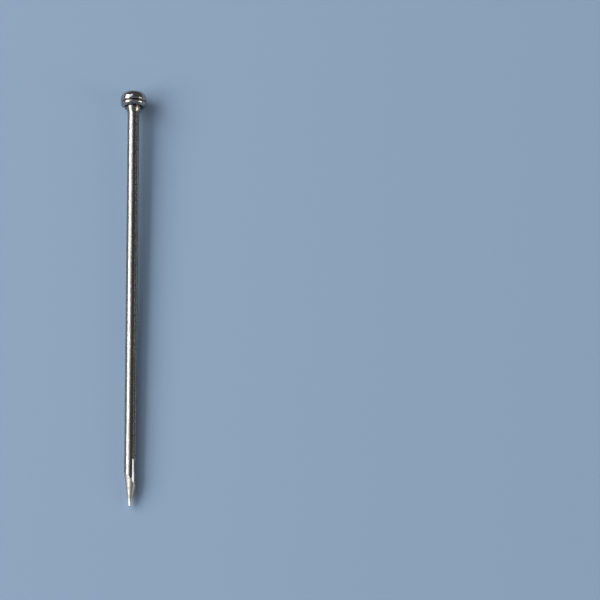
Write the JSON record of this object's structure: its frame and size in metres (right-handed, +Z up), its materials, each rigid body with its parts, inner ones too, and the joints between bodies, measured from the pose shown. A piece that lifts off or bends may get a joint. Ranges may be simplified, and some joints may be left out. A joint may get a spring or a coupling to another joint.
{
  "type": "straight pin",
  "caption": "Plain nickel plated steel straight pin with a wound ball head and a ground point, lying flat, for pinning fabric, paper or displays.",
  "frame": {"origin": "middle of the pin's footprint, on the surface it lies on", "axes": "+Y along the pin from the point to the head, +Z up, +X to the right seen from above with the head away from the viewer"},
  "size_m": [0.0016, 0.028, 0.0017],
  "materials": {
    "plated_shank": "polished",
    "plated_head_wire": "polished"
  },
  "bodies": {
    "root": {"shank": "plated_shank", "wound_head": "plated_head_wire"}
  },
  "joints": []
}
